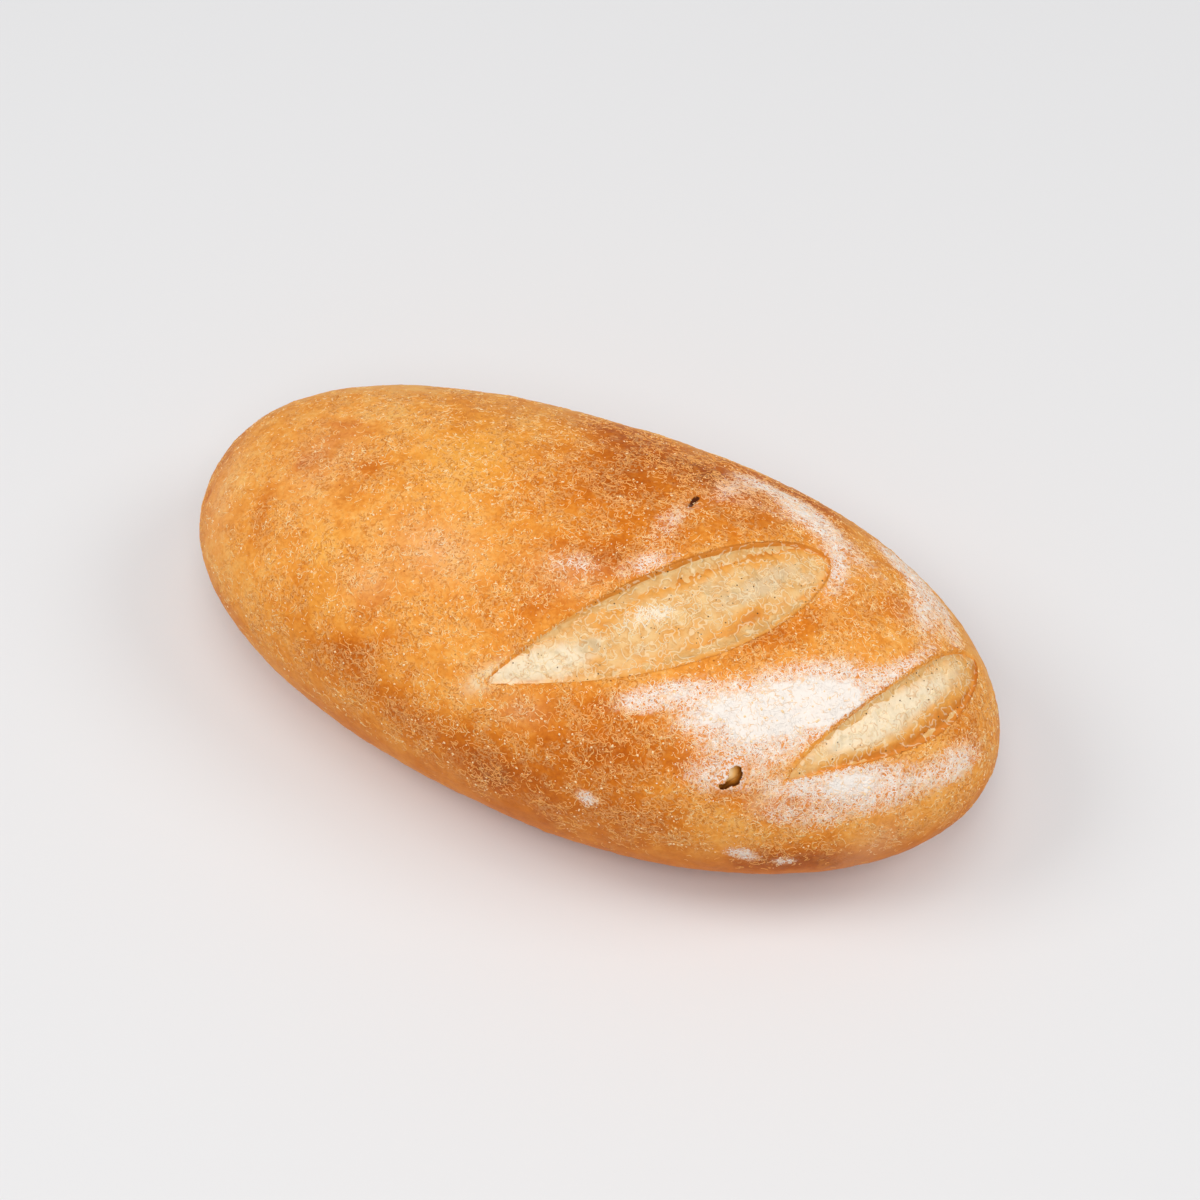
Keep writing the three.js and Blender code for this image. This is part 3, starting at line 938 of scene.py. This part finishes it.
def make_crumb(name, kind, finish):
    slash = SLASHES[kind]
    rings, lines = CRUMB_GRID[kind]
    shares = (1.0 - np.cos(np.linspace(0.0, math.pi, rings + 2)))[1:-1] / 2.0
    across = np.linspace(-1.0, 1.0, lines)
    across = np.sign(across) * (1.0 - (1.0 - np.abs(across)) ** 1.25)
    u, k = (grid.ravel() for grid in np.broadcast_arrays(shares[:, None], across[None, :]))
    opening = opening_at(slash, u)
    reach = k * (1.0 + 0.25 / np.maximum(opening, 0.25))  # a little past both edges, under the crust
    xy = place_on_slash(slash, u, reach)
    top = np.column_stack([xy, crust_height(xy[:, 0], xy[:, 1])])
    along, beside = u * slash["length"], reach * opening
    dimples, bubble_shade = dimple_relief(along, beside, kind)
    glassy = slash_patches(along, beside, GLASSY[kind])
    relief = np.clip(layered_waves(top, CRUMB_WAVES), -0.4, 0.4) + dimples - 0.3 * np.minimum(glassy, 1.0)
    # A smooth second lip runs inside the near edge, and a faint groove parts it from the crumb
    fold = np.exp(-(((k + 0.70) / 0.06) ** 2)) * smoothstep(u, 0.45, 0.6) * smoothstep(-u, -0.95, -0.85)
    relief *= smoothstep((1.0 - np.abs(k)) * opening, 0.0, 1.4) * (1.0 - 0.7 * smoothstep(-k, 0.68, 0.78))
    sunk = 0.9 * (1.0 - smoothstep(opening, 0.15, 0.7))
    # At the far edge it curves up to the rim
    risen = 1.0 - 0.72 * smoothstep(k, 0.84, 0.98)
    trough = risen * trough_depth(slash, u, np.clip(k, -1.0, 1.0))
    top[:, 2] += (relief - 0.18 * fold) - trough - sunk
    from_above = np.array([1.0, 1.0, 0.0])
    distance, _ = nearest(top * from_above, outline_of(slash) * from_above)
    distance = np.where(np.abs(reach) > 1.0, 0.0, distance)
    near_rim = 1.25 * np.exp(-distance / 2.0) + 0.6 * np.exp(-((distance / 0.5) ** 2))
    toasted = slash_patches(along, beside, TOASTED[kind]) + rim_strength(kind, u, k) * near_rim
    toasted += 0.5 * fold
    webbed = smoothstep(distance, 0.3, 1.0) * smoothstep(-toasted, -1.2, -0.5) * (np.abs(k) < 0.90)
    fields = {
        "toasted": toasted,
        "pale": slash_patches(along, beside, PALE[kind]),
        "glassy": glassy,
        "bubble_shade": bubble_shade,
        "floured": slash_patches(along, beside, CRUMB_FLOURED[kind]),
        "webbed": webbed,
    }
    for field, values in fields.items():
        # The underside and the two end points have no strength in any field
        rows = np.pad(values.reshape(rings, lines), ((0, 0), (0, 4)))
        fields[field] = np.pad(rows.ravel(), 1)
    points, faces = closed_pad(slash, top, rings, lines)
    return make_piece(name, points, faces, fields, finish)


# The burst blister
def blister_axes():
    """The middle of the blister on the crust, and the ways up the slope, across it and out of it."""
    x, y = BLISTER_AT
    slope_x = (crust_height(x + 1.0, y) - crust_height(x - 1.0, y)) / 2.0
    slope_y = (crust_height(x, y + 1.0) - crust_height(x, y - 1.0)) / 2.0
    out = np.array([-slope_x, -slope_y, 1.0])
    out /= np.linalg.norm(out)
    heading = math.radians(BLISTER_HEADING)
    along = np.array([math.cos(heading), math.sin(heading), 0.0])
    along -= out * (along @ out)
    along /= np.linalg.norm(along)
    return np.array([x, y, float(crust_height(x, y))]), along, np.cross(out, along), out


def closed_curve(corners, count):
    """A smooth closed curve through corners, as evenly spaced points."""
    corners = np.array(corners)
    fine = np.linspace(0.0, len(corners), 40 * len(corners), endpoint=False)
    before, share = fine.astype(int), (fine % 1.0)[:, None]
    a, b, c, d = (corners[(before + step) % len(corners)] for step in (-1, 0, 1, 2))
    bend = 2 * a - 5 * b + 4 * c - d
    curve = b + 0.5 * share * (c - a + share * (bend + share * (3 * (b - c) + d - a)))
    closed = np.vstack([curve, curve[:1]])
    run = np.concatenate([[0.0], np.cumsum(np.linalg.norm(np.diff(closed, axis=0), axis=1))])
    wanted = np.linspace(0.0, run[-1], count, endpoint=False)
    return np.column_stack([np.interp(wanted, run, closed[:, axis]) for axis in (0, 1)])


def blister_dip(points):
    """How far the crust's mesh dips to make room for the blister."""
    middle, along, aside, _ = blister_axes()
    offset = points - middle
    close = np.linalg.norm(offset, axis=1) < BLISTER_REACH
    flat = np.column_stack([offset[close] @ along, offset[close] @ aside])
    rim = closed_curve(BLISTER_OPENING, BLISTER_AROUND)
    away = np.linalg.norm(flat[:, None] - rim[None], axis=2).min(axis=1)
    next_rim = np.roll(rim, -1, axis=0)
    crossing = (rim[None, :, 1] > flat[:, None, 1]) != (next_rim[None, :, 1] > flat[:, None, 1])
    slope = (next_rim[:, 0] - rim[:, 0]) / (next_rim[:, 1] - rim[:, 1] + 1e-9)
    meets = flat[:, None, 0] < slope[None] * (flat[:, None, 1] - rim[None, :, 1]) + rim[None, :, 0]
    within = (np.sum(crossing & meets, axis=1) % 2) == 1
    dip = np.zeros(len(points))
    dip[close] = (BLISTER_DEPTH + BLISTER_ROOM) * smoothstep(-np.where(within, 0.0, away), -1.5, -0.5)
    return dip


def make_blister(skin, wall):
    """The bubble's wall, its ragged lip and a skirt of crust that lies on the roll around it."""
    middle, along, aside, out = blister_axes()
    rim = closed_curve(BLISTER_OPENING, BLISTER_AROUND)
    ahead = np.roll(rim, -1, axis=0) - np.roll(rim, 1, axis=0)
    outward = np.column_stack([ahead[:, 1], -ahead[:, 0]]) / np.linalg.norm(ahead, axis=1)[:, None]
    turn = 2.0 * math.pi * np.arange(BLISTER_AROUND) / BLISTER_AROUND
    ragged = 0.10 * np.sin(7 * turn + 0.5) + 0.07 * np.sin(13 * turn + 2.0) + 0.05 * np.sin(29 * turn)
    under_edge = smoothstep(-outward[:, 1], -0.2, 0.7)  # the near side overhangs the bubble
    torn = smoothstep(-rim[:, 0], -1.2, 1.5)  # the lip is lifted and flaky towards the tail

    def ring_at(flat, height):
        ring = middle + np.outer(flat[:, 0], along) + np.outer(flat[:, 1], aside)
        ring[:, 2] = crust_height(ring[:, 0], ring[:, 1])
        return ring + out * skin_relief(ring)[:, None] + np.outer(height, out)

    rings, down = [], []
    for reach, height in BLISTER_SKIRT:
        lift = height + (0.12 * torn + 0.4 * ragged) * math.exp(-((reach / 0.6) ** 2))
        rings.append(ring_at(rim + outward * (reach + ragged * math.exp(-reach))[:, None], lift))
        down.append(np.zeros(BLISTER_AROUND))
    rings.append(ring_at(rim + outward * ragged[:, None], 0.03 + 0.08 * torn))
    down.append(np.full(BLISTER_AROUND, 0.02))
    overhung = rim[outward[:, 1] < -0.15]
    for share in BLISTER_WALL:
        inward = share**1.3 - 0.20 * under_edge * math.sin(math.pi * share)
        flat = rim + (BLISTER_DEEPEST - rim) * np.clip(inward, 0.0, 1.0)[:, None]
        flat += outward * (0.35 * under_edge * math.sin(math.pi * min(1.0, share * 1.6)))[:, None]
        depth = BLISTER_DEPTH * math.sin(0.5 * math.pi * share) * (0.75 + 0.25 * under_edge)
        rings.append(ring_at(flat, -depth))
        # Painted shade, with some toasting: darker towards the side that overhangs, and in the narrow tail
        off_edge = np.min(np.linalg.norm(flat[:, None] - overhung[None], axis=2), axis=1)
        toast_and_shade = np.maximum(1.05 - off_edge / 2.1, 0.9 * smoothstep(-flat[:, 0], 0.3, 1.2))
        down.append(np.clip(toast_and_shade, 0.0, 1.0))
    bottom = ring_at(np.array([BLISTER_DEEPEST]), np.array([-BLISTER_DEPTH]))
    under = middle - out * (BLISTER_DEPTH + 1.0)
    points = np.concatenate([[under], *rings, bottom])
    faces = skin_faces(len(rings), BLISTER_AROUND)
    fields = crust_fields(points, np.full(len(points), FAR_AWAY), np.zeros(len(points)))
    fields["down"] = np.concatenate([[1.0], *down, [0.5]])
    lip_flour = np.repeat([*LIP_FLOUR, *np.zeros(len(BLISTER_WALL))], BLISTER_AROUND)
    fields["floured"] += 0.12 * np.pad(lip_flour, 1)
    piece = make_piece("burst_blister", points, faces, fields, skin, wall)
    first_inside = 1 + len(BLISTER_SKIRT) * BLISTER_AROUND
    for face in piece.data.polygons:
        face.material_index = int(min(face.vertices) >= first_inside)
    return piece


# Small things that lie on a surface, made by geometry nodes
class Tree(Nodes):
    """A geometry node tree in the making, with named inputs."""

    def __init__(self, name, inputs):
        self.group = bpy.data.node_groups.new(name, "GeometryNodeTree")
        super().__init__(self.group)
        face = self.group.interface
        face.new_socket("Geometry", in_out="INPUT", socket_type="NodeSocketGeometry")
        face.new_socket("Geometry", in_out="OUTPUT", socket_type="NodeSocketGeometry")
        self.values = inputs
        self.sockets = {}
        for label, value in inputs.items():
            kind = "NodeSocketInt" if isinstance(value, int) else "NodeSocketFloat"
            self.sockets[label] = face.new_socket(label, in_out="INPUT", socket_type=kind)
        self.given = self.add("NodeGroupInput").outputs

    def random(self, low, high, seed):
        node = self.add("FunctionNodeRandomValue", {"data_type": "FLOAT"}, Seed=seed)
        low_socket, high_socket = (s for s in node.inputs if s.enabled and s.name in ("Min", "Max"))
        self.put(low_socket, low)
        self.put(high_socket, high)
        return next(socket for socket in node.outputs if socket.enabled)

    def scattered(self, field, amount, clump):
        """Points on the surface, as dense as one of its fields, and denser in clumps."""
        strength = self.add("GeometryNodeInputNamedAttribute", {"data_type": "FLOAT"}, Name=field)
        value = next(socket for socket in strength.outputs if socket.enabled)
        patchy = self.add("ShaderNodeTexNoise", Scale=1.0 / (CLUMP_SPACING * MM), Detail=2.0).outputs["Fac"]
        return self.add(
            "GeometryNodeDistributePointsOnFaces",
            {"distribute_method": "RANDOM"},
            Mesh=self.given["Geometry"],
            Density=self.times(value, self.math("POWER", self.times(patchy, 2.0), clump), amount),
            Seed=self.given["Seed"],
        ).outputs

    def placed(self, points, thing, scale, **more):
        """A thing on every point, upright on the surface and turned by a random angle."""
        put = self.add(
            "GeometryNodeInstanceOnPoints",
            Points=points["Points"],
            Instance=thing,
            Rotation=points["Rotation"],
            Scale=scale.outputs["Vector"],
            **more,
        )
        turn = self.add("ShaderNodeCombineXYZ", Z=self.random(0.0, 2.0 * math.pi, 7)).outputs["Vector"]
        return self.add("GeometryNodeRotateInstances", Instances=put.outputs[0], Rotation=turn).outputs[0]

    def finished(self, geometry, finish):
        real = self.add("GeometryNodeRealizeInstances", Geometry=geometry).outputs["Geometry"]
        coloured = self.add("GeometryNodeSetMaterial", Geometry=real, Material=finish)
        self.add("NodeGroupOutput", Geometry=coloured.outputs["Geometry"])

    def grown_on(self, surface):
        """The tree's result on a surface, as a plain mesh of its own."""
        name = self.group.name
        carrier = add_object(name + "_carrier", surface.data)
        modifier = carrier.modifiers.new(name, "NODES")
        modifier.node_group = self.group
        for label, value in self.values.items():
            modifier[self.sockets[label].identifier] = value
        graph = bpy.context.evaluated_depsgraph_get()
        mesh = bpy.data.meshes.new_from_object(carrier.evaluated_get(graph))
        bpy.data.objects.remove(carrier)
        mesh.name = name
        mesh.shade_smooth()
        return add_object(name, mesh)


def make_grains(name, surface, field, finish, seed):
    """Small uneven grains, flattened on the surface."""
    amount, smallest, largest = GRAINS[name]
    inputs = {"Grains in a square metre": amount, "Smallest": smallest * MM, "Largest": largest * MM}
    tree = Tree(name, inputs | {"Flatness": 0.6, "Sink": 0.02 * MM, "Seed": seed})
    given = tree.given
    points = tree.scattered(field, given["Grains in a square metre"], 2.0)
    grain = tree.add("GeometryNodeMeshIcoSphere", Radius=1.0, Subdivisions=1).outputs["Mesh"]
    size = tree.random(given["Smallest"], given["Largest"], 3)
    longer = tree.times(size, tree.random(0.6, 1.6, 5))
    scale = tree.add("ShaderNodeCombineXYZ", X=size, Y=longer, Z=tree.times(size, given["Flatness"]))
    sunk = tree.add("ShaderNodeCombineXYZ", Z=tree.times(given["Sink"], -1.0)).outputs["Vector"]
    grains = tree.placed(points, grain, scale)
    moved = tree.add("GeometryNodeTranslateInstances", Instances=grains, Translation=sunk)
    tree.finished(moved.outputs["Instances"], finish)
    return tree.grown_on(surface)


def make_threads(name, surface, field, finish, seed):
    """Short curled threads that lie half sunk in the surface and taper to both ends."""
    amount, shortest, longest, half_thickness, parts = THREADS[name]
    inputs = {"Threads in a square metre": amount, "Shortest": shortest * MM, "Longest": longest * MM}
    inputs |= {"Half thickness": half_thickness * MM, "Seed": seed}
    inputs |= {"Wriggle": 0.9 * MM, "Wriggle spacing": 1.1 * MM}
    tree = Tree(name, inputs)
    given = tree.given
    points = tree.scattered(field, given["Threads in a square metre"], 2.5)
    # Arcs of unit length, from nearly straight to almost a full turn, are picked at random
    shapes = tree.add("GeometryNodeJoinGeometry")
    for sweep in THREAD_SWEEPS:
        turn = math.radians(sweep)
        sizes = {"Resolution": parts, "Radius": 1.0 / turn, "Sweep_Angle": turn}
        arc = tree.add("GeometryNodeCurveArc", {"mode": "RADIUS"}, **sizes).outputs[0]
        middle = (-math.cos(turn / 2.0) / turn, -math.sin(turn / 2.0) / turn, 0.0)
        moved = tree.add("GeometryNodeTransform", Geometry=arc, Translation=middle).outputs[0]
        whole = tree.add("GeometryNodeGeometryToInstance", Geometry=moved)
        tree.links.new(whole.outputs[0], shapes.inputs[0])
    length = tree.random(given["Shortest"], given["Longest"], 3)
    scale = tree.add("ShaderNodeCombineXYZ", X=length, Y=length, Z=1.0)
    threads = tree.placed(points, shapes.outputs[0], scale, Pick_Instance=True)
    loose = tree.add("GeometryNodeRealizeInstances", Geometry=threads).outputs["Geometry"]
    # Each point is pushed aside, and then brought back onto the surface
    per_metre = tree.math("DIVIDE", 1.0, given["Wriggle spacing"])
    push = tree.add("ShaderNodeTexNoise", Scale=per_metre, Detail=1.0).outputs["Color"]
    push = tree.vector("SCALE", tree.vector("SUBTRACT", push, (0.5, 0.5, 0.5)), given["Wriggle"])
    bent = tree.add("GeometryNodeSetPosition", Geometry=loose, Offset=push).outputs["Geometry"]
    close = tree.add("GeometryNodeProximity", {"target_element": "FACES"})
    tree.links.new(given["Geometry"], close.inputs[0])
    laid = tree.add("GeometryNodeSetPosition", Geometry=bent, Position=close.outputs["Position"])
    share = tree.add("GeometryNodeSplineParameter").outputs["Factor"]
    swelling = tree.times(share, tree.math("SUBTRACT", 1.0, share))
    taper = tree.math("SQRT", tree.math("MULTIPLY_ADD", swelling, 3.6, 0.1))
    tapered = tree.add("GeometryNodeSetCurveRadius", Curve=laid.outputs["Geometry"], Radius=taper)
    section = tree.add("GeometryNodeCurvePrimitiveCircle", Resolution=3, Radius=given["Half thickness"])
    curves = {"Curve": tapered.outputs["Curve"], "Profile_Curve": section.outputs[0]}
    tube = tree.add("GeometryNodeCurveToMesh", Fill_Caps=True, **curves)
    tree.finished(tube.outputs["Mesh"], finish)
    return tree.grown_on(surface)


# The stage
def make_floor():
    half = FLOOR_SIZE * MM / 2.0
    corners = [(-half, -half, 0), (half, -half, 0), (half, half, 0), (-half, half, 0)]
    mesh = bpy.data.meshes.new("floor")
    mesh.from_pydata(corners, [], [(0, 1, 2, 3)])
    mesh.materials.append(floor_finish())
    floor = add_object("floor", mesh)


def towards(turn, lift):
    """The direction at a turn from the camera's side of the roll, and at an angle over the floor."""
    around, up = math.radians(CAMERA_AZIMUTH + turn), math.radians(lift)
    return Vector((math.sin(around) * math.cos(up), -math.cos(around) * math.cos(up), math.sin(up)))


def make_lights():
    for index, (turn, lift, power) in enumerate(SOFTBOXES):
        lamp = bpy.data.lights.new(f"softbox_{index}", "AREA")
        lamp.shape = "DISK"
        lamp.size = SOFTBOX_SIZE * MM
        lamp.energy = power
        lamp.color = SOFTBOX_COLOUR
        holder = add_object(lamp.name, lamp)
        away = towards(turn, lift)
        holder.location = away * SOFTBOX_AWAY * MM
        holder.rotation_euler = away.to_track_quat("Z", "Y").to_euler()
    world = bpy.data.worlds.new("sky")
    world.use_nodes = True
    background = world.node_tree.nodes["Background"]
    background.inputs["Color"].default_value = (*SKY_COLOUR, 1.0)
    background.inputs["Strength"].default_value = SKY_STRENGTH
    bpy.context.scene.world = world


def make_camera():
    camera = bpy.data.cameras.new("camera")
    camera.lens = LENS
    camera.sensor_width = SENSOR
    camera.clip_start = 0.01
    holder = add_object("camera", camera)
    back = towards(0.0, CAMERA_ELEVATION)
    azimuth = math.radians(CAMERA_AZIMUTH)
    right = Vector((math.cos(azimuth), math.sin(azimuth), 0.0))
    holder.location = (Vector(CAMERA_TARGET) + back * CAMERA_DISTANCE) * MM
    holder.rotation_euler = Matrix((right, back.cross(right), back)).transposed().to_euler()
    bpy.context.scene.camera = holder


make_camera()
make_lights()
make_floor()

crust_skin = crust_finish()
crust = make_crust(crust_skin)
crumb_inside = crumb_finish()
long_crumb = make_crumb("long_slash_crumb", "long", crumb_inside)
short_crumb = make_crumb("short_slash_crumb", "short", crumb_inside)
blister = make_blister(crust_skin, cavity_finish())
thread_skin = thread_finish()
long_threads = make_threads("long_threads", crust, "threaded", thread_skin, seed=2)
short_threads = make_threads("short_threads", crust, "threaded", thread_skin, seed=3)
flour_threads = make_threads("floured_threads", crust, "flour_edge", thread_skin, seed=5)
web_skin = web_finish()
long_webs = make_threads("long_slash_webs", long_crumb, "webbed", web_skin, seed=6)
short_webs = make_threads("short_slash_webs", short_crumb, "webbed", web_skin, seed=7)
floured_webs = make_threads("floured_webs", long_crumb, "floured", web_skin, seed=8)
flour = make_grains("flour_grains", crust, "floured", flour_finish(), seed=4)
flakes = make_grains("skin_flakes", crust, "flaked", flake_finish(), seed=9)

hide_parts("roll")
slots = {
    crust: "crust",
    blister: "crust",
    long_threads: "crust",
    short_threads: "crust",
    flakes: "crust",
    flour_threads: "flour",
    flour: "flour",
    long_crumb: "crumb",
    short_crumb: "crumb",
    floured_webs: "flour",
    long_webs: "crumb",
    short_webs: "crumb",
}
for piece, slot in slots.items():
    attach(piece, "root")

bpy.context.scene.view_settings.view_transform = "Standard"
bpy.context.scene.view_settings.look = "None"
